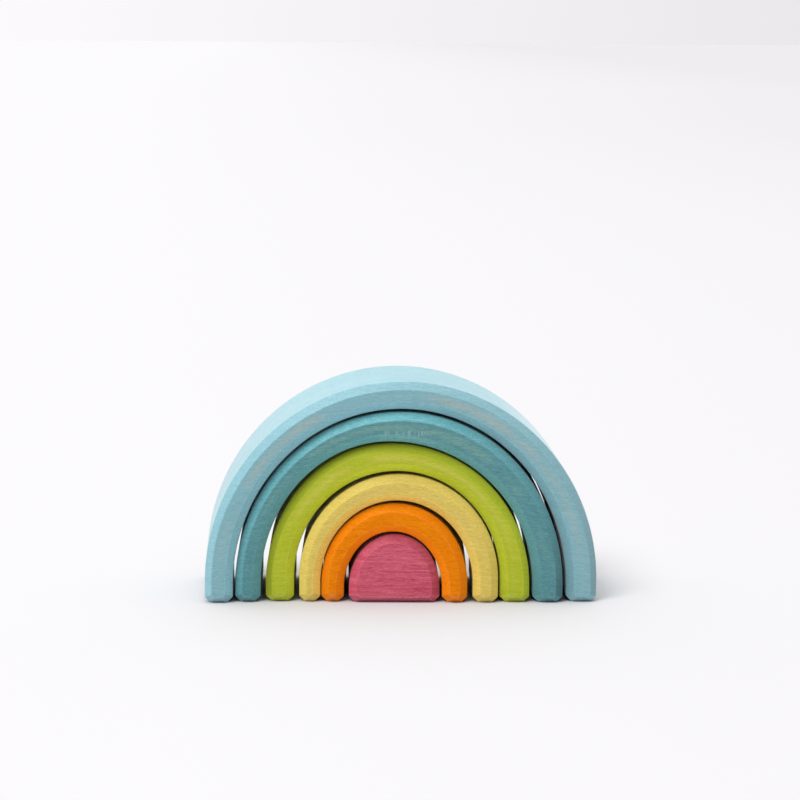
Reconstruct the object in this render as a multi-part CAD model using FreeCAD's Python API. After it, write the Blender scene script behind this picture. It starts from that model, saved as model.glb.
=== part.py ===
import FreeCAD, Part
import math
import os

# Nesting rainbow: five wooden arches round a solid half round core, all sawn from one board.
# Millimetres. X runs along the row of feet, Y is the depth of the board, Z is up.
# The origin is on the table, in the middle of the outermost arch.

# The depth of the board, which every block has before its faces are sanded.
BOARD_DEPTH = 60.0

# Every outline is two quarter ellipses on two straight legs. spring_height is where the legs end.
# crown_lean is how far the highest point stands to the right of the middle between the legs.
# sanded_off is the wood taken off each of a block's two faces.
# turned is how many degrees a block was set down turned clockwise, seen from above, about its middle.

# The core, the solid block in the middle.
PINK_CORE = {
    "width": 39.3,
    "height": 29.7,
    "spring_height": 6.1,
    "crown_lean": 0.0,
    "sanded_off": 0.0,
    "face_chamfer": 3.3,
    "turned": 1.5,
}

# The arches, from the innermost outwards. The gaps are the play between an arch and the block inside
# it halfway through the board: the saw cut, and how the block happens to stand in the opening.
# The walls are the arch's wood.
ORANGE_ARCH = {
    "left_gap": 1.5,
    "right_gap": 1.7,
    "crown_gap": 1.2,
    "left_wall": 9.8,
    "right_wall": 11.0,
    "crown_wall": 12.4,
    "spring_height": 8.1,
    "crown_lean": 0.0,
    "sanded_off": 0.0,
    "face_chamfer": 3.2,
    "opening_chamfer": 3.3,
    "turned": 2.9,
}

YELLOW_ARCH = {
    "left_gap": 0.6,
    "right_gap": 2.1,
    "crown_gap": 1.2,
    "left_wall": 9.2,
    "right_wall": 11.0,
    "crown_wall": 11.5,
    "spring_height": 10.3,
    "crown_lean": 0.0,
    "sanded_off": 0.0,
    "face_chamfer": 3.2,
    "opening_chamfer": 3.3,
    "turned": 2.4,
}

GREEN_ARCH = {
    "left_gap": 2.5,
    "right_gap": 0.5,
    "crown_gap": 1.2,
    "left_wall": 12.2,
    "right_wall": 12.9,
    "crown_wall": 12.2,
    "spring_height": 7.4,
    "crown_lean": -3.2,
    "sanded_off": 1.1,
    "face_chamfer": 2.6,
    "opening_chamfer": 3.4,
    "turned": 1.9,
}

TEAL_ARCH = {
    "left_gap": 2.5,
    "right_gap": 1.2,
    "crown_gap": 0.9,
    "left_wall": 11.0,
    "right_wall": 13.0,
    "crown_wall": 13.0,
    "spring_height": 7.3,
    "crown_lean": 0.0,
    "sanded_off": 0.0,
    "face_chamfer": 3.0,
    "opening_chamfer": 3.5,
    "turned": 1.3,
}

SKY_BLUE_ARCH = {
    "left_gap": 1.6,
    "right_gap": 1.0,
    "crown_gap": 1.2,
    "left_wall": 12.1,
    "right_wall": 13.3,
    "crown_wall": 11.9,
    "spring_height": 9.0,
    "crown_lean": 0.0,
    "sanded_off": 0.0,
    "face_chamfer": 2.8,
    "opening_chamfer": 3.3,
    "turned": 0.0,
}

# The cut along the long bottom edges of every foot, and along the bottom of its two faces.
FOOT_CORNER = 2.4
FOOT_CHAMFER = 2.6

# No cut takes more than this share of the thinnest wood beside it, or of twice a leg's straight part.
CHAMFER_LIMIT_SHARE = 0.36

QUARTER_TURN = math.pi / 2
ON_PLANE = 1e-6


class Outline:
    """Two quarter ellipses on two straight legs that stand on the table."""

    def __init__(self, left, right, crown, spring, lean):
        self.left = left
        self.right = right
        self.crown = crown
        self.spring = spring
        self.lean = lean

    def grown(self, to_left, to_right, upwards, spring, lean):
        return Outline(self.left - to_left, self.right + to_right, self.crown + upwards, spring, lean)

    def moved(self, along_x):
        return Outline(self.left + along_x, self.right + along_x, self.crown, self.spring, self.lean)

    def middle(self):
        return (self.left + self.right) / 2


def limited(size, woods):
    return min(size, CHAMFER_LIMIT_SHARE * min(woods))


def point(x, z):
    return FreeCAD.Vector(x, 0, z)


def quarter_ellipse(centre, leg_end, top):
    longer, shorter = leg_end, top
    if centre.distanceToPoint(top) > centre.distanceToPoint(leg_end):
        longer, shorter = top, leg_end
    return Part.ArcOfEllipse(Part.Ellipse(longer, shorter, centre), 0, QUARTER_TURN).toShape()


def crown_curve(outline):
    highest = outline.middle() + outline.lean
    centre = point(highest, outline.spring)
    top = point(highest, outline.crown)
    right = quarter_ellipse(centre, point(outline.right, outline.spring), top)
    left = quarter_ellipse(centre, point(outline.left, outline.spring), top)
    return [right, left]


def legs(outline, corner_cut, wood_inside):
    """The points down the right leg and down the left leg. The last ones stand on the table."""
    inwards = corner_cut if wood_inside else -corner_cut
    right = [
        point(outline.right, outline.spring),
        point(outline.right, corner_cut),
        point(outline.right - inwards, 0),
    ]
    left = [
        point(outline.left, outline.spring),
        point(outline.left, corner_cut),
        point(outline.left + inwards, 0),
    ]
    return right, left


def lines(points):
    return [Part.LineSegment(a, b).toShape() for a, b in zip(points, points[1:])]


def face_edges(block, depth):
    """The edges round the front and the back face."""
    front_and_back = []
    for edge in block.Edges:
        box = edge.BoundBox
        flat = box.YLength < ON_PLANE
        if flat and abs(abs(box.YMin) - depth / 2) < ON_PLANE:
            front_and_back.append(edge)
    return front_and_back


def sawn_block(edges, depth, foot_chamfer):
    """The outline cut through the board, standing on the table, with the bottom of its faces cut."""
    face = Part.Face(Part.Wire(Part.sortEdges(edges)[0]))
    face.translate(FreeCAD.Vector(0, -depth / 2, 0))
    block = face.extrude(FreeCAD.Vector(0, depth, 0))
    on_table = [edge for edge in face_edges(block, depth) if edge.BoundBox.ZMax < ON_PLANE]
    return block.makeChamfer(foot_chamfer, on_table).Solids[0]


def faces_chamfered(block, depth, chamfer, chosen):
    """Cuts the edges round the two faces that are chosen by their corners, above the feet's bottom."""
    wanted = []
    for edge in face_edges(block, depth):
        upright = edge.BoundBox.ZLength > ON_PLANE
        if upright and all(chosen(corner.X) for corner in edge.Vertexes):
            wanted.append(edge)
    return block.makeChamfer(chamfer, wanted).Solids[0]


def core_block(sizes, outline):
    depth = BOARD_DEPTH - 2 * sizes["sanded_off"]
    woods = [sizes["width"], sizes["height"], depth, 2 * outline.spring]
    corner_cut = limited(FOOT_CORNER, woods)
    right, left = legs(outline, corner_cut, True)
    edges = crown_curve(outline) + lines(right + left[::-1])
    block = sawn_block(edges, depth, limited(FOOT_CHAMFER, woods))
    return faces_chamfered(block, depth, limited(sizes["face_chamfer"], woods), lambda x: True)


def arch_block(sizes, outline, opening):
    depth = BOARD_DEPTH - 2 * sizes["sanded_off"]
    woods = [sizes["left_wall"], sizes["right_wall"], sizes["crown_wall"], depth]
    woods += [2 * outline.spring, 2 * opening.spring]
    corner_cut = limited(FOOT_CORNER, woods)
    right, left = legs(outline, corner_cut, True)
    opening_right, opening_left = legs(opening, corner_cut, False)
    edges = crown_curve(outline) + crown_curve(opening)
    edges += lines(right + opening_right[::-1])
    edges += lines(left + opening_left[::-1])
    block = sawn_block(edges, depth, limited(FOOT_CHAMFER, woods))

    in_left_leg = (outline.left + opening.left) / 2
    in_right_leg = (outline.right + opening.right) / 2

    def round_opening(x):
        return in_left_leg < x < in_right_leg

    def round_outside(x):
        return not round_opening(x)

    block = faces_chamfered(block, depth, limited(sizes["opening_chamfer"], woods), round_opening)
    return faces_chamfered(block, depth, limited(sizes["face_chamfer"], woods), round_outside)


def nested(arches, inside):
    """Each arch's outer outline and its opening, which is the block inside it plus the gaps."""
    outlines = []
    for sizes in arches:
        gaps = (sizes["left_gap"], sizes["right_gap"], sizes["crown_gap"])
        opening = inside.grown(*gaps, inside.spring, inside.lean)
        walls = (sizes["left_wall"], sizes["right_wall"], sizes["crown_wall"])
        inside = opening.grown(*walls, sizes["spring_height"], sizes["crown_lean"])
        outlines.append((inside, opening))
    return outlines


def save(block, outline, turned, node):
    block.rotate(FreeCAD.Vector(outline.middle(), 0, 0), FreeCAD.Vector(0, 0, 1), -turned)
    block.exportStep(os.path.join("parts", node + ".step"))
    print(node, "volume", round(block.Volume), "valid", block.isValid())


os.makedirs("parts", exist_ok=True)

arches = {
    "orange_arch": ORANGE_ARCH,
    "yellow_arch": YELLOW_ARCH,
    "green_arch": GREEN_ARCH,
    "teal_arch": TEAL_ARCH,
    "sky_blue_arch": SKY_BLUE_ARCH,
}
core_outline = Outline(
    0, PINK_CORE["width"], PINK_CORE["height"], PINK_CORE["spring_height"], PINK_CORE["crown_lean"]
)
outlines = nested(arches.values(), core_outline)

# The outermost arch is centred on the origin, and the rest keep their places in it.
outermost = outlines[-1][0]
to_origin = -outermost.middle()
core_outline = core_outline.moved(to_origin)
save(core_block(PINK_CORE, core_outline), core_outline, PINK_CORE["turned"], "pink_core")
for (node, sizes), (outline, opening) in zip(arches.items(), outlines):
    outline = outline.moved(to_origin)
    save(arch_block(sizes, outline, opening.moved(to_origin)), outline, sizes["turned"], node)

print("overall width", outermost.right - outermost.left, "height", outermost.crown)
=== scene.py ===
import math
import bpy
import bmesh
from mathutils import Matrix, Vector


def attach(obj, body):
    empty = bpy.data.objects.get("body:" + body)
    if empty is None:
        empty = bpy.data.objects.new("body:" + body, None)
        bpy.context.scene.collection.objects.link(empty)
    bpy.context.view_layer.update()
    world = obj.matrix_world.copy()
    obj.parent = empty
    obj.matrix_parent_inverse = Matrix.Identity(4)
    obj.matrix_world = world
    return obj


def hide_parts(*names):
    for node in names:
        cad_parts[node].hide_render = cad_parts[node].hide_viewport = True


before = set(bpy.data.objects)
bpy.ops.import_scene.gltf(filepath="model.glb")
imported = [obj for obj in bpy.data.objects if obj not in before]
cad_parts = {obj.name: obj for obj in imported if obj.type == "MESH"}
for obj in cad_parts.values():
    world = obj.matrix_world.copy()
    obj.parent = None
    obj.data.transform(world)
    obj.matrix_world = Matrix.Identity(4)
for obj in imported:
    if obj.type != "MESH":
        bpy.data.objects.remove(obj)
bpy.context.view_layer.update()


# The pink core: the solid half round that is left in the middle once the arches are sawn off it.
# Lime wood, sawn through the depth of the board, its edges planed off flat, then stained and rubbed
# down with fine paper, which leaves a thin pale line along every arris. It stands loose in the nest.

PINK_OUTSIDE = {"left": -0.0220, "right": 0.0173, "crown": 0.0297, "spring": 0.0061, "lean": 0}
PINK_DEPTH = 0.0600
PINK_CHAMFER = 0.0033
PINK_TURNED = 1.5
PINK_STAIN = (0.504, 0.082, 0.131)
PINK_WORN = (0.554, 0.113, 0.168)
PINK_SHEEN = (1, 0.5, 0.6)
PINK_GRAIN = {"seed": 5.0, "streaks": 0.28, "growth_share": 0.4}

# Painted light and shade: how much lighter or darker each surface is painted than the stain, for the
# way the light falls on it. The edges are on the left, over the crown and on the right. The outside
# is what goes through the board round the top and sides. What is hidden is the underside, and in an
# arch the opening too, painted darker as the shade in the gaps.
PINK_PAINTED_SHADING = {"face": 1.05, "edges": (1.33, 0.76, 0.99), "outside": 0.85, "hidden": 0.6}
# Painted light on the chamfer under each foot, as a share of the stain.
FOOT_EDGE_PAINTED_LIGHT = 1.3

FOOT_CORNER = 0.0024
FOOT_CHAMFER = 0.0026
ARRIS = 0.0003
ARRIS_STEPS = 2

CURVE_STEPS = 96
QUARTER_TURN = math.pi / 2
TINY = 1e-6
SHARP = math.radians(30)
SQUARE = math.radians(60)


def choose(kind, wanted):
    """Selects the vertices, edges or faces of the block on the bench that wanted() says yes to."""
    bpy.ops.mesh.select_mode(type=kind)
    bpy.ops.mesh.select_all(action="DESELECT")
    net = bmesh.from_edit_mesh(bpy.context.object.data)
    parts = {"VERT": net.verts, "EDGE": net.edges, "FACE": net.faces}[kind]
    for part in parts:
        if wanted(part):
            part.select_set(True)
    net.select_flush_mode()
    bmesh.update_edit_mesh(bpy.context.object.data)


def on_table(part):
    return all(corner.co.z < TINY for corner in part.verts)


def through_the_board(edge):
    return abs(edge.verts[0].co.x - edge.verts[1].co.x) < TINY


def across_a_face(edge):
    """An edge that lies within the front or back face."""
    return all(abs(face.normal.y) > 1 - TINY for face in edge.link_faces)


def round_a_face(edge):
    """An edge between the front or back face and what goes through the board."""
    flat = abs(edge.verts[0].co.y - edge.verts[1].co.y) < TINY
    return flat and edge.calc_face_angle(0) > SQUARE


def rounded_arris(side):
    """A strip no wider than the paper takes off an arris."""
    return side.calc_area() < ARRIS * side.calc_perimeter() / 2


def saw_line(left, right, crown, spring, lean, front):
    """The line that the blade follows: two quarter ellipses on straight legs, drawn on the front."""
    highest = (left + right) / 2 + lean
    centre = (highest, front, spring)
    bpy.ops.object.select_all(action="DESELECT")
    bpy.ops.mesh.primitive_circle_add(
        vertices=2 * CURVE_STEPS, radius=1, location=centre, rotation=(QUARTER_TURN, 0, 0)
    )
    line = bpy.context.object
    line.scale = (right - highest, crown - spring, 1)
    bpy.ops.object.transform_apply(location=True, rotation=True, scale=True)
    bpy.ops.object.mode_set(mode="EDIT")
    choose("VERT", lambda corner: corner.co.z < spring - TINY)
    bpy.ops.mesh.delete(type="VERT")
    choose("VERT", lambda corner: corner.co.x < highest - TINY)
    bpy.ops.transform.resize(
        value=((highest - left) / (right - highest), 1, 1), center_override=centre
    )
    choose("VERT", lambda corner: corner.co.z < spring + TINY)
    bpy.ops.mesh.extrude_vertices_move(TRANSFORM_OT_translate={"value": (0, 0, -spring)})
    bpy.ops.object.mode_set(mode="OBJECT")
    return line


def saw_through(depth):
    """Turns the outline on the bench into a block as deep as the board."""
    bpy.ops.mesh.select_all(action="SELECT")
    bpy.ops.mesh.extrude_region_move(TRANSFORM_OT_translate={"value": (0, depth, 0)})
    bpy.ops.mesh.select_all(action="SELECT")
    bpy.ops.mesh.normals_make_consistent(inside=False)


def plane_the_edges(chamfers):
    """Cuts the corners of the feet, and then the edges round the two faces."""
    chamfers = chamfers + [(FOOT_CHAMFER, on_table)]
    widest = max(width for width, place in chamfers)
    choose("EDGE", lambda edge: on_table(edge) and through_the_board(edge))
    bpy.ops.mesh.bevel(offset=FOOT_CORNER, segments=1, affect="EDGES")
    for width, place in chamfers:
        choose("EDGE", lambda edge: round_a_face(edge) and place(edge))
        bpy.ops.transform.edge_bevelweight(value=-1)
        bpy.ops.transform.edge_bevelweight(value=width / widest)
    bpy.ops.object.mode_set(mode="OBJECT")
    bpy.ops.object.modifier_add(type="BEVEL")
    plane = bpy.context.object.modifiers[-1]
    plane.limit_method = "WEIGHT"
    plane.width = widest
    plane.segments = 1
    bpy.ops.object.modifier_apply(modifier=plane.name)


def mark(name, domain, chosen):
    """Writes 1 where something is chosen and 0 elsewhere, for the stain to read."""
    bpy.ops.object.mode_set(mode="OBJECT")
    spots = bpy.context.object.data.attributes.new(name, "FLOAT", domain)
    parts = {"FACE": bpy.context.object.data.polygons, "POINT": bpy.context.object.data.vertices}[domain]
    spots.data.foreach_set("value", [float(chosen(part)) for part in parts])
    bpy.ops.object.mode_set(mode="EDIT")


# An arris is bare over a foot, and hardly so higher up. Over a foot it doesn't turn far sideways.
ARRIS_OVER_FOOT = 1.3 * FOOT_CHAMFER
ARRIS_SIDEWAYS = 0.2
BARE_OVER_FOOT = 1
BARE_HIGH_UP = 0.06

# A face of the block has more corners than this before it is divided. What goes through the board
# turns to the front or the back by less than this share.
FACE_CORNERS = 20
THROUGH_TURN = 0.3


def rub_down(name, middle, face, edges, outside, hidden, opening_edges=(1, 1, 1)):
    """Rounds every arris a little. Marks where the paper has been, and the light and shade painted on
    each surface.
    """
    block = bpy.context.object
    block.name = name
    bpy.ops.object.mode_set(mode="EDIT")
    bpy.ops.mesh.select_mode(type="EDGE")
    bpy.ops.mesh.select_all(action="DESELECT")
    bpy.ops.mesh.edges_select_sharp(sharpness=SHARP)
    bpy.ops.mesh.bevel(offset=ARRIS, segments=ARRIS_STEPS, affect="EDGES")
    choose("FACE", rounded_arris)

    def how_bare(side):
        over_foot = side.center.z < ARRIS_OVER_FOOT and abs(side.normal.x) < ARRIS_SIDEWAYS
        return side.select * (BARE_OVER_FOOT if over_foot else BARE_HIGH_UP)

    mark("arris", "FACE", how_bare)
    choose("FACE", lambda side: abs(side.normal.y) > 1 - TINY and len(side.verts) > FACE_CORNERS)
    bpy.ops.mesh.poke()
    choose("EDGE", across_a_face)
    bpy.ops.mesh.subdivide(number_cuts=1)
    choose("VERT", lambda corner: all(across_a_face(edge) for edge in corner.link_edges))
    mark("rubbed", "POINT", lambda corner: corner.select)

    # Painted light and shade: each surface gets the lightness painted on it for the way the light falls
    # there.
    def shade_painted_on(side):
        out, place = side.normal, side.center
        if abs(out.y) > 1 - TINY:
            return face
        outwards = out.x * (place.x - middle) + out.z * place.z > 0
        if abs(out.y) < THROUGH_TURN:
            return outside if outwards else hidden
        # The chamfers under the feet get painted light.
        if out.z < 0 and place.z < FOOT_CHAMFER:
            return FOOT_EDGE_PAINTED_LIGHT
        on_left, on_crown, on_right = edges if outwards else opening_edges
        share = (place.x - middle) / (abs(place.x - middle) + place.z)
        planed = on_crown + abs(share) * ((on_right if share > 0 else on_left) - on_crown)
        return (planed + face) / 2 if side.select else planed

    choose("FACE", rounded_arris)
    mark("painted_shading", "FACE", shade_painted_on)
    bpy.ops.object.mode_set(mode="OBJECT")
    bpy.ops.object.shade_smooth_by_angle(angle=SHARP)
    bpy.ops.object.modifier_add(type="WEIGHTED_NORMAL")
    bpy.ops.object.modifier_apply(modifier=block.modifiers[-1].name)
    return block


def set_down(turned, middle):
    """Turns the block on its spot, clockwise seen from above, the way it was set down."""
    bpy.ops.object.mode_set(mode="EDIT")
    bpy.ops.mesh.select_all(action="SELECT")
    bpy.ops.transform.rotate(value=math.radians(turned), orient_axis="Z", center_override=(middle, 0, 0))
    bpy.ops.object.mode_set(mode="OBJECT")


def core(name, outline, depth, chamfer, turned, painted_shading):
    saw_line(**outline, front=-depth / 2)
    bpy.ops.object.mode_set(mode="EDIT")
    choose("VERT", lambda corner: corner.co.z < TINY)
    bpy.ops.mesh.edge_face_add()
    bpy.ops.mesh.select_all(action="SELECT")
    bpy.ops.mesh.edge_face_add()
    saw_through(depth)
    plane_the_edges([(chamfer, lambda edge: True)])
    middle = (outline["left"] + outline["right"]) / 2
    block = rub_down(name, middle, **painted_shading)
    set_down(turned, middle)
    return block


# The wood's marks, as long, deep and high as these in metres, and how far the grain bows.
FIBRE = (0.0036, 0.0005, 0.00028)
SPECK = (0.0012, 0.0004, 0.00028)
GROWTH = (0.026, 0.012, 0.0011)
RUBBED_PATCH = (0.034, 0.020, 0.016)
PORE = (0.004, 0.0006, 0.0006)
GRAIN_BOW = 1.2
FIBRE_HEIGHT = 0.00008

# The noise runs from 0 to 1. A mark goes from nothing to its full strength between these.
STROKE_LIMITS = (0.2, 0.8)
PATCH_LIMITS = (0.36, 0.6)
PORE_LIMITS = (0.35, 0.75)
SHINE_LIMITS = (0.3, 0.7)
SPECK_LIMITS = (0.3, 0.7)

# The rubbing grows from near the foot to near the crown. The limits are shares of the height.
RUB_HEIGHTS = (0.1, 0.8)
RUBBED_LOW_DOWN = 0.2

# How much of each mark shows, and how the stained surface shines.
SPECK_SHARE = 0.4
END_GRAIN_SOAKED = 0.35
END_GRAIN_SHADE = 0.6
ARRIS_PALENESS = 0.25
ARRIS_LEAST_BARE = 0.2
ROUGHNESS = (0.52, 0.42)
STRENGTH_OF_FIBRES = 0.5
SHINE = 0.35
SHEEN = 0.35
NOISE_ROUGHNESS = 0.6


def add(tree, kind, settings, inputs):
    """Adds a node. Each input is a value, or else the output of another node."""
    new = tree.nodes.new("ShaderNode" + kind)
    for name, value in settings.items():
        setattr(new, name, value)
    for name, value in inputs.items():
        if isinstance(value, bpy.types.NodeSocket):
            tree.links.new(value, new.inputs[name])
        else:
            new.inputs[name].default_value = value
    return new.outputs


def noise(tree, where, size, detail):
    """Noise with cells as long, deep and high as size says, in metres."""
    cells = {0: where, 1: [1 / length for length in size]}
    place = add(tree, "VectorMath", {"operation": "MULTIPLY"}, cells)[0]
    marks = {"Vector": place, "Scale": 1, "Detail": detail, "Roughness": NOISE_ROUGHNESS}
    return add(tree, "TexNoise", {}, marks)[0]


def between(tree, amount, low, high, to_low, to_high):
    limits = {"Value": amount, 1: low, 2: high, 3: to_low, 4: to_high}
    return add(tree, "MapRange", {"interpolation_type": "SMOOTHSTEP"}, limits)[0]


def times(tree, one, other):
    return add(tree, "Math", {"operation": "MULTIPLY"}, {0: one, 1: other})[0]


def blend(tree, amount, colour, other):
    return add(tree, "Mix", {"data_type": "RGBA"}, {0: amount, 6: colour, 7: other})[2]


def soaked(colour, paler):
    """The colour where a fibre took up less of the stain, or more of it where paler is below 0."""
    return [min(max(part + paler * math.sqrt(part), 0), 1) for part in colour] + [1]


def stained_lime_wood(name, stain, worn, sheen, crown, seed, streaks, growth_share):
    """Lime wood under a thin water stain. The grain runs along X and bows over the crown."""
    wood = bpy.data.materials.new(name)
    wood.use_nodes = True
    tree = wood.node_tree
    tree.nodes.clear()
    here = add(tree, "TexCoord", {}, {})["Object"]
    x, y, z = add(tree, "SeparateXYZ", {}, {0: here})
    bow = times(tree, x, x)
    ring = add(tree, "Math", {"operation": "MULTIPLY_ADD"}, {0: bow, 1: GRAIN_BOW, 2: z})[0]
    across = add(tree, "Math", {"operation": "ADD"}, {0: y, 1: seed})[0]
    grain = add(tree, "CombineXYZ", {}, {0: x, 1: across, 2: ring})[0]

    fibre = noise(tree, grain, FIBRE, detail=2)
    speck = noise(tree, grain, SPECK, detail=1)
    growth = noise(tree, grain, GROWTH, detail=3)
    patch = noise(tree, grain, RUBBED_PATCH, detail=2)

    on_face = add(tree, "Attribute", {"attribute_name": "rubbed"}, {})["Fac"]
    low, high = (share * crown for share in RUB_HEIGHTS)
    high_up = between(tree, z, low, high, RUBBED_LOW_DOWN, 1)
    thin = times(tree, times(tree, on_face, high_up), between(tree, patch, *PATCH_LIMITS, 0, 1))

    strokes = add(tree, "Mix", {}, {0: SPECK_SHARE, 2: fibre, 3: speck})[0]
    depth = add(tree, "Mix", {}, {0: growth_share, 2: strokes, 3: growth})[0]
    light_stroke = between(tree, depth, *STROKE_LIMITS, 0, 1)
    stained = blend(tree, light_stroke, soaked(stain, -streaks), soaked(stain, streaks))
    rubbed = blend(tree, light_stroke, soaked(worn, -streaks), soaked(worn, streaks))
    colour = blend(tree, thin, stained, rubbed)
    # Painted light and shade: the colour is made lighter or darker by the shading painted on each
    # surface.
    painted_shading = add(tree, "Attribute", {"attribute_name": "painted_shading"}, {})["Fac"]
    colour = add(tree, "HueSaturation", {}, {"Value": painted_shading, "Color": colour})[0]

    out_of = add(tree, "SeparateXYZ", {}, {0: add(tree, "NewGeometry", {}, {})["Normal"]})[0]
    end_grain = times(tree, out_of, out_of)
    pores = noise(tree, here, PORE, detail=1)
    drunk = times(tree, end_grain, between(tree, pores, *PORE_LIMITS, 0, END_GRAIN_SOAKED))
    colour = blend(tree, drunk, colour, [part * END_GRAIN_SHADE for part in stain] + [1])

    arris = add(tree, "Attribute", {"attribute_name": "arris"}, {})["Fac"]
    bare = times(tree, arris, between(tree, speck, *SPECK_LIMITS, ARRIS_LEAST_BARE, 1))
    colour = blend(tree, bare, colour, [part + (1 - part) * ARRIS_PALENESS for part in stain] + [1])

    roughness = between(tree, patch, *SHINE_LIMITS, *ROUGHNESS)
    fibres = {"Strength": STRENGTH_OF_FIBRES, "Distance": FIBRE_HEIGHT, "Height": strokes}
    normal = add(tree, "Bump", {}, fibres)[0]
    coat = {"Base Color": colour, "Roughness": roughness, "Normal": normal, "Specular IOR Level": SHINE}
    coat.update({"Specular Tint": (*sheen, 1), "Sheen Weight": SHEEN, "Sheen Tint": (*sheen, 1)})
    shader = add(tree, "BsdfPrincipled", {}, coat)[0]
    add(tree, "OutputMaterial", {}, {"Surface": shader})
    return wood


def finish_block(block, wood, node):
    block.data.materials.clear()
    block.data.materials.append(wood)
    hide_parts(node)
    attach(block, node)


pink_core = core("pink_half_round", PINK_OUTSIDE, PINK_DEPTH, PINK_CHAMFER, PINK_TURNED, PINK_PAINTED_SHADING)
pink_wood = stained_lime_wood(
    "pink stain", PINK_STAIN, PINK_WORN, PINK_SHEEN, PINK_OUTSIDE["crown"], **PINK_GRAIN
)
finish_block(pink_core, pink_wood, "pink_core")


# The orange arch: the innermost of the five, cut from the same board round the pink core.
# Lime wood with flat planed edges, under an even orange water stain. It stands loose on its two
# feet with a saw cut of about a millimetre round the core, and was set down turned a little.

ORANGE_OUTSIDE = {"left": -0.0333, "right": 0.0300, "crown": 0.0433, "spring": 0.0081, "lean": 0}
ORANGE_OPENING = {"left": -0.0235, "right": 0.0190, "crown": 0.0309, "spring": 0.0061, "lean": 0}
ORANGE_DEPTH = 0.0600
ORANGE_CHAMFER = 0.0032
ORANGE_OPENING_CHAMFER = 0.0033
ORANGE_TURNED = 2.9
ORANGE_STAIN = (0.759, 0.198, 0.001)
ORANGE_WORN = (0.759, 0.208, 0.001)
ORANGE_SHEEN = (1, 0.5, 0.02)
ORANGE_GRAIN = {"seed": 2.1, "streaks": 0.2, "growth_share": 0.2}
# Painted light and shade: edges lighter on the left and right, the opening's edges lighter still, the
# top, sides and hidden surfaces darker.
ORANGE_PAINTED_SHADING = {
    "face": 1.0, "edges": (1.13, 0.87, 1.14), "opening_edges": (1.27, 1.6, 1.13),
    "outside": 0.85, "hidden": 0.45
}


def arch(name, outline, opening, depth, chamfers, turned, painted_shading):
    """Saws an arch. Its chamfers are the one round the outside and the one round the opening."""
    left, right = outline["left"], outline["right"]
    in_left_leg = (left + opening["left"]) / 2
    in_right_leg = (right + opening["right"]) / 2
    outer = saw_line(**outline, front=-depth / 2)
    saw_line(**opening, front=-depth / 2)
    outer.select_set(True)
    bpy.context.view_layer.objects.active = outer
    bpy.ops.object.join()
    bpy.ops.object.mode_set(mode="EDIT")
    bpy.ops.mesh.select_all(action="SELECT")
    bpy.ops.mesh.bridge_edge_loops()
    saw_through(depth)

    def round_the_opening(edge):
        return all(in_left_leg < corner.co.x < in_right_leg for corner in edge.verts)

    plane_the_edges([(chamfers[0], lambda edge: True), (chamfers[1], round_the_opening)])
    block = rub_down(name, (left + right) / 2, **painted_shading)
    set_down(turned, (left + right) / 2)
    return block


orange_arch = arch(
    "orange_wooden_arch", ORANGE_OUTSIDE, ORANGE_OPENING, ORANGE_DEPTH,
    (ORANGE_CHAMFER, ORANGE_OPENING_CHAMFER), ORANGE_TURNED, ORANGE_PAINTED_SHADING
)
orange_wood = stained_lime_wood(
    "orange stain", ORANGE_STAIN, ORANGE_WORN, ORANGE_SHEEN, ORANGE_OUTSIDE["crown"], **ORANGE_GRAIN
)
finish_block(orange_arch, orange_wood, "orange_arch")


# The yellow arch, the second from the inside. Lime wood, sawn round the orange arch and standing
# loose over it, its edges planed flat. The straw yellow stain is thin, so that the wood's own
# cream shows in duller patches on the faces.

YELLOW_OUTSIDE = {"left": -0.0431, "right": 0.0431, "crown": 0.0560, "spring": 0.0103, "lean": 0}
YELLOW_OPENING = {"left": -0.0339, "right": 0.0321, "crown": 0.0445, "spring": 0.0081, "lean": 0}
YELLOW_DEPTH = 0.0600
YELLOW_CHAMFER = 0.0032
YELLOW_OPENING_CHAMFER = 0.0033
YELLOW_TURNED = 2.4
YELLOW_STAIN = (0.649, 0.494, 0.107)
YELLOW_WORN = (0.636, 0.465, 0.126)
YELLOW_SHEEN = (1, 0.9, 0.4)
YELLOW_GRAIN = {"seed": 2.2, "streaks": 0.2, "growth_share": 0.2}
# Painted light and shade: edges lighter on the left and right, the opening's edges lighter still, the
# top, sides and hidden surfaces darker.
YELLOW_PAINTED_SHADING = {
    "face": 1.0, "edges": (1.23, 0.8, 1.25), "opening_edges": (1.42, 1.51, 1.15),
    "outside": 0.85, "hidden": 0.45
}

yellow_arch = arch(
    "yellow_wooden_arch", YELLOW_OUTSIDE, YELLOW_OPENING, YELLOW_DEPTH,
    (YELLOW_CHAMFER, YELLOW_OPENING_CHAMFER), YELLOW_TURNED, YELLOW_PAINTED_SHADING
)
yellow_wood = stained_lime_wood(
    "yellow stain", YELLOW_STAIN, YELLOW_WORN, YELLOW_SHEEN, YELLOW_OUTSIDE["crown"], **YELLOW_GRAIN
)
finish_block(yellow_arch, yellow_wood, "yellow_arch")


# The green arch, in the middle of the set. Lime wood, sanded thinner than the others, so that its
# faces stand back a millimetre, and highest a little left of the middle. The moss green stain is
# yellower where it is rubbed. Along the outer edge on the left and over the crown, where the teal
# arch casts its shadow, more shade is painted.

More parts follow.
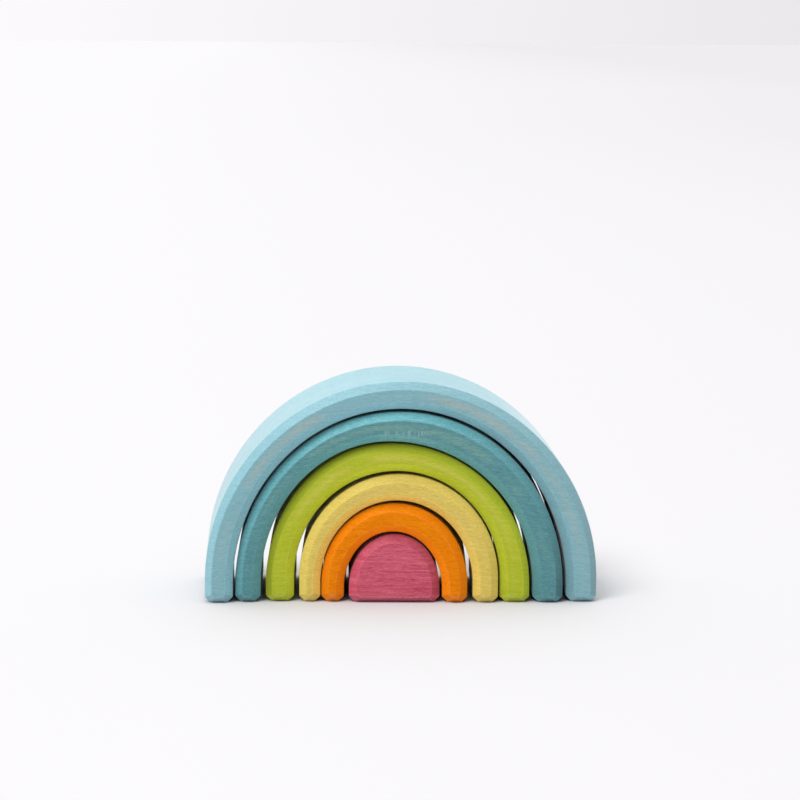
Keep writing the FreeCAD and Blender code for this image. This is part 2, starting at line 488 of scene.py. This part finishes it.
GREEN_OUTSIDE = {"left": -0.0578, "right": 0.0565, "crown": 0.0694, "spring": 0.0074, "lean": -0.0032}
GREEN_OPENING = {"left": -0.0456, "right": 0.0436, "crown": 0.0572, "spring": 0.0103, "lean": 0}
GREEN_DEPTH = 0.0578
GREEN_CHAMFER = 0.0026
GREEN_OPENING_CHAMFER = 0.0034
GREEN_TURNED = 1.9
GREEN_STAIN = (0.395, 0.453, 0.030)
GREEN_WORN = (0.497, 0.478, 0.074)
GREEN_SHEEN = (0.9, 1, 0.1)
GREEN_GRAIN = {"seed": 6.3, "streaks": 0.14, "growth_share": 0.25}
# Painted shadow of the teal arch on the outer edge at the left and over the crown, painted light on the
# right and round the opening.
GREEN_PAINTED_SHADING = {
    "face": 1.0, "edges": (0.69, 0.7, 1.33), "opening_edges": (1.36, 1.68, 1.01),
    "outside": 0.85, "hidden": 0.45
}

green_arch = arch(
    "green_wooden_arch", GREEN_OUTSIDE, GREEN_OPENING, GREEN_DEPTH,
    (GREEN_CHAMFER, GREEN_OPENING_CHAMFER), GREEN_TURNED, GREEN_PAINTED_SHADING
)
green_wood = stained_lime_wood(
    "green stain", GREEN_STAIN, GREEN_WORN, GREEN_SHEEN, GREEN_OUTSIDE["crown"], **GREEN_GRAIN
)
finish_block(green_arch, green_wood, "green_arch")


# The teal arch, the second from the outside. Lime wood, sawn round the green arch and standing
# loose over it. Its edges are planed flat. The blue green stain is rubbed paler towards the crown,
# and its edges are painted lighter over the crown and on the left and darker on the right, as light
# and shade.

TEAL_OUTSIDE = {"left": -0.0713, "right": 0.0707, "crown": 0.0833, "spring": 0.0073, "lean": 0}
TEAL_OPENING = {"left": -0.0603, "right": 0.0577, "crown": 0.0703, "spring": 0.0074, "lean": -0.0032}
TEAL_DEPTH = 0.0600
TEAL_CHAMFER = 0.0030
TEAL_OPENING_CHAMFER = 0.0035
TEAL_TURNED = 1.3
TEAL_STAIN = (0.087, 0.247, 0.273)
TEAL_WORN = (0.145, 0.302, 0.281)
TEAL_SHEEN = (0.6, 0.9, 0.9)
TEAL_GRAIN = {"seed": 7.4, "streaks": 0.19, "growth_share": 0.2}
TEAL_TORN = {"middle": (0.0010, 0.0732), "reach": (0.0140, 0.0028)}
TORN_FIBRE = (0.0006, 0.004, 0.0050)
TORN_EDGE = 0.5
TEAR_LIMITS = (0.45, 0.7)
TORN_MOST = 0.35
TORN_PALENESS = 0.45
# Painted light and shade: edges lighter on the left and over the crown, darker on the right.
TEAL_PAINTED_SHADING = {
    "face": 0.97, "edges": (1.27, 1.68, 0.55), "opening_edges": (1.29, 1.89, 0.9),
    "outside": 0.85, "hidden": 0.45
}


def tear_fibres(wood, stain, middle, reach):
    """Lifts short pale fibres in one place over the opening, where the blade tore against the grain."""
    tree = wood.node_tree
    coat = tree.nodes["Principled BSDF"].inputs["Base Color"]
    here = add(tree, "TexCoord", {}, {})["Object"]
    x, y, z = add(tree, "SeparateXYZ", {}, {0: here})
    away = []
    for along, centre, far in ((x, middle[0], reach[0]), (z, middle[1], reach[1])):
        step = add(tree, "Math", {"operation": "SUBTRACT"}, {0: along, 1: centre})[0]
        step = add(tree, "Math", {"operation": "ABSOLUTE"}, {0: step})[0]
        away.append(between(tree, step, TORN_EDGE * far, far, 1, 0))
    tears = noise(tree, here, TORN_FIBRE, detail=2)
    in_front = add(tree, "Math", {"operation": "LESS_THAN"}, {0: y, 1: 0})[0]
    place = times(tree, times(tree, *away), in_front)
    torn = times(tree, place, between(tree, tears, *TEAR_LIMITS, 0, TORN_MOST))
    pale = [part + (1 - part) * TORN_PALENESS for part in stain] + [1]
    tree.links.new(blend(tree, torn, coat.links[0].from_socket, pale), coat)


teal_arch = arch(
    "teal_wooden_arch", TEAL_OUTSIDE, TEAL_OPENING, TEAL_DEPTH,
    (TEAL_CHAMFER, TEAL_OPENING_CHAMFER), TEAL_TURNED, TEAL_PAINTED_SHADING
)
teal_wood = stained_lime_wood(
    "teal stain", TEAL_STAIN, TEAL_WORN, TEAL_SHEEN, TEAL_OUTSIDE["crown"], **TEAL_GRAIN
)
tear_fibres(teal_wood, TEAL_STAIN, **TEAL_TORN)
finish_block(teal_arch, teal_wood, "teal_arch")


# The sky blue arch, the outermost and the one that the others are slid out of. Lime wood with flat
# planed edges. Its top and sides are in full light, and the stain is rubbed through to a grey
# beige in patches along the middle of its faces.

SKY_BLUE_OUTSIDE = {"left": -0.0850, "right": 0.0850, "crown": 0.0964, "spring": 0.0090, "lean": 0}
SKY_BLUE_OPENING = {"left": -0.0729, "right": 0.0717, "crown": 0.0845, "spring": 0.0073, "lean": 0}
SKY_BLUE_DEPTH = 0.0600
SKY_BLUE_CHAMFER = 0.0028
SKY_BLUE_OPENING_CHAMFER = 0.0033
SKY_BLUE_TURNED = 0
SKY_BLUE_STAIN = (0.198, 0.404, 0.460)
SKY_BLUE_WORN = (0.312, 0.404, 0.391)
SKY_BLUE_SHEEN = (1, 1, 1)
SKY_BLUE_GRAIN = {"seed": 5.5, "streaks": 0.18, "growth_share": 0.2}
# Painted light and shade: the top and sides a little lighter, the edges lighter on the left and darker
# over the crown and on the right.
SKY_BLUE_PAINTED_SHADING = {
    "face": 1.0, "edges": (1.23, 0.89, 0.82), "opening_edges": (1.42, 1.48, 0.81),
    "outside": 1.05, "hidden": 0.45
}

sky_blue_arch = arch(
    "sky_blue_wooden_arch", SKY_BLUE_OUTSIDE, SKY_BLUE_OPENING, SKY_BLUE_DEPTH,
    (SKY_BLUE_CHAMFER, SKY_BLUE_OPENING_CHAMFER), SKY_BLUE_TURNED, SKY_BLUE_PAINTED_SHADING
)
sky_blue_wood = stained_lime_wood(
    "sky blue stain", SKY_BLUE_STAIN, SKY_BLUE_WORN, SKY_BLUE_SHEEN, SKY_BLUE_OUTSIDE["crown"],
    **SKY_BLUE_GRAIN
)
finish_block(sky_blue_arch, sky_blue_wood, "sky_blue_arch")


# The floor: a sheet of white paper, so wide that its edge is the horizon. Shade is painted on it,
# a little darker far away and off to the right.

PAPER = (0.541, 0.533, 0.544)
SHADED_PAPER = (0.470, 0.461, 0.470)
FLOOR_WIDTH = 60

# A bearing is the way to the right over the distance from a spot this far in front of the origin.
# The painted shade on the paper grows between these bearings, and more so between these depths.
BEARINGS_FROM = 2.2
PAPER_DEPTHS = (-1, 9)
DULL_BEARINGS = (-0.05, 0.2)
DULL_DEPTHS = (0.2, 6)
DULLNESS = (0.4, 0.85)

bpy.ops.object.select_all(action="DESELECT")
bpy.ops.mesh.primitive_plane_add(size=FLOOR_WIDTH, location=(0, 0, 0))
floor = bpy.context.object
floor.name = "white_floor"
paper = bpy.data.materials.new("white paper")
paper.use_nodes = True
tree = paper.node_tree
tree.nodes.clear()
here = add(tree, "TexCoord", {}, {})["Object"]
x, y, z = add(tree, "SeparateXYZ", {}, {0: here})
near, far = PAPER_DEPTHS
reach = {"Value": y, 1: near, 2: far, 3: near + BEARINGS_FROM, 4: far + BEARINGS_FROM}
distance = add(tree, "MapRange", {}, reach)[0]
bearing = add(tree, "Math", {"operation": "DIVIDE"}, {0: x, 1: distance})[0]
turn = {"Value": bearing, 1: DULL_BEARINGS[0], 2: DULL_BEARINGS[1], 3: 0, 4: 1}
to_the_right = add(tree, "MapRange", {}, turn)[0]
painted_shade_share = times(tree, to_the_right, between(tree, y, *DULL_DEPTHS, *DULLNESS))
shade = blend(tree, painted_shade_share, (*PAPER, 1), (*SHADED_PAPER, 1))
matt = add(tree, "BsdfDiffuse", {}, {"Color": shade})[0]
add(tree, "OutputMaterial", {}, {"Surface": matt})
floor.data.materials.append(paper)


# The light: a wide lamp high in front on the left, a weaker one overhead, and a room that is lit
# from above and a little from behind. Seen straight or in a reflection, the room's walls are a
# plain white with shade painted on it, darker to the right.

ROOM_STRENGTH = 1.75
ROOM_LIT_FROM = (0, 0.25, 0.95)
WALL = (0.975, 0.955, 0.975)
SHADED_WALL = (0.825, 0.805, 0.825)
DULL_WALL_TURNS = (-0.1, 0.2)

# Each lamp's strength and the way its light goes.
SIDE_LAMP = (2.0, (0.42, 0.45, -0.79))
TOP_LAMP = (0.6, (0, 0, -1))
LAMP_WIDTH = math.radians(28)

world = bpy.data.worlds.new("studio")
bpy.context.scene.world = world
world.use_nodes = True
tree = world.node_tree
tree.nodes.clear()
way = add(tree, "TexCoord", {}, {})["Generated"]
towards_light = {0: way, 1: ROOM_LIT_FROM}
height = add(tree, "VectorMath", {"operation": "DOT_PRODUCT"}, towards_light)["Value"]
bright = add(tree, "MapRange", {}, {"Value": height, 1: 0, 2: 1, 3: 0, 4: ROOM_STRENGTH})[0]
room = add(tree, "Background", {}, {"Color": (1, 1, 1, 1), "Strength": bright})[0]
to_the_right = add(tree, "SeparateXYZ", {}, {0: way})[0]
turn = {"Value": to_the_right, 1: DULL_WALL_TURNS[0], 2: DULL_WALL_TURNS[1], 3: 0, 4: 1}
wall = blend(tree, add(tree, "MapRange", {}, turn)[0], (*WALL, 1), (*SHADED_WALL, 1))
seen = add(tree, "Background", {}, {"Color": wall, "Strength": 1})[0]
rays = add(tree, "LightPath", {}, {})
looks = {0: rays["Is Camera Ray"], 1: rays["Is Glossy Ray"]}
straight = add(tree, "Math", {"operation": "MAXIMUM"}, looks)[0]
looks = {0: straight, 1: rays["Is Transmission Ray"]}
straight = add(tree, "Math", {"operation": "MAXIMUM"}, looks)[0]
both = add(tree, "MixShader", {}, {0: straight, 1: room, 2: seen})[0]
add(tree, "OutputWorld", {}, {"Surface": both})

for strength, towards in (SIDE_LAMP, TOP_LAMP):
    bpy.ops.object.light_add(type="SUN")
    lamp = bpy.context.object
    lamp.data.energy = strength
    lamp.data.angle = LAMP_WIDTH
    lamp.rotation_euler = Vector(towards).to_track_quat("-Z", "Y").to_euler()


# The camera: a long lens from the front, a little above the set. It looks slightly to the right and
# down, and stands a little out of level.

CAMERA_PLACE = (-0.0580, -1.1707, 0.2496)
TO_THE_RIGHT = math.radians(2.847)
DOWNWARDS = math.radians(8.013)
OUT_OF_LEVEL = math.radians(0.416)
SENSOR_WIDTH = 36
LENS_IN_PIXELS = 2693.1
PICTURE_WIDTH = 800

bpy.ops.object.camera_add(location=CAMERA_PLACE)
camera = bpy.context.object
yaw = Matrix.Rotation(-TO_THE_RIGHT, 3, "Z")
pitch = Matrix.Rotation(QUARTER_TURN - DOWNWARDS, 3, "X")
roll = Matrix.Rotation(OUT_OF_LEVEL, 3, "Z")
camera.rotation_euler = (yaw @ pitch @ roll).to_euler()
camera.data.sensor_width = SENSOR_WIDTH
camera.data.lens = SENSOR_WIDTH * LENS_IN_PIXELS / PICTURE_WIDTH
bpy.context.scene.camera = camera
bpy.context.scene.view_settings.view_transform = "Standard"
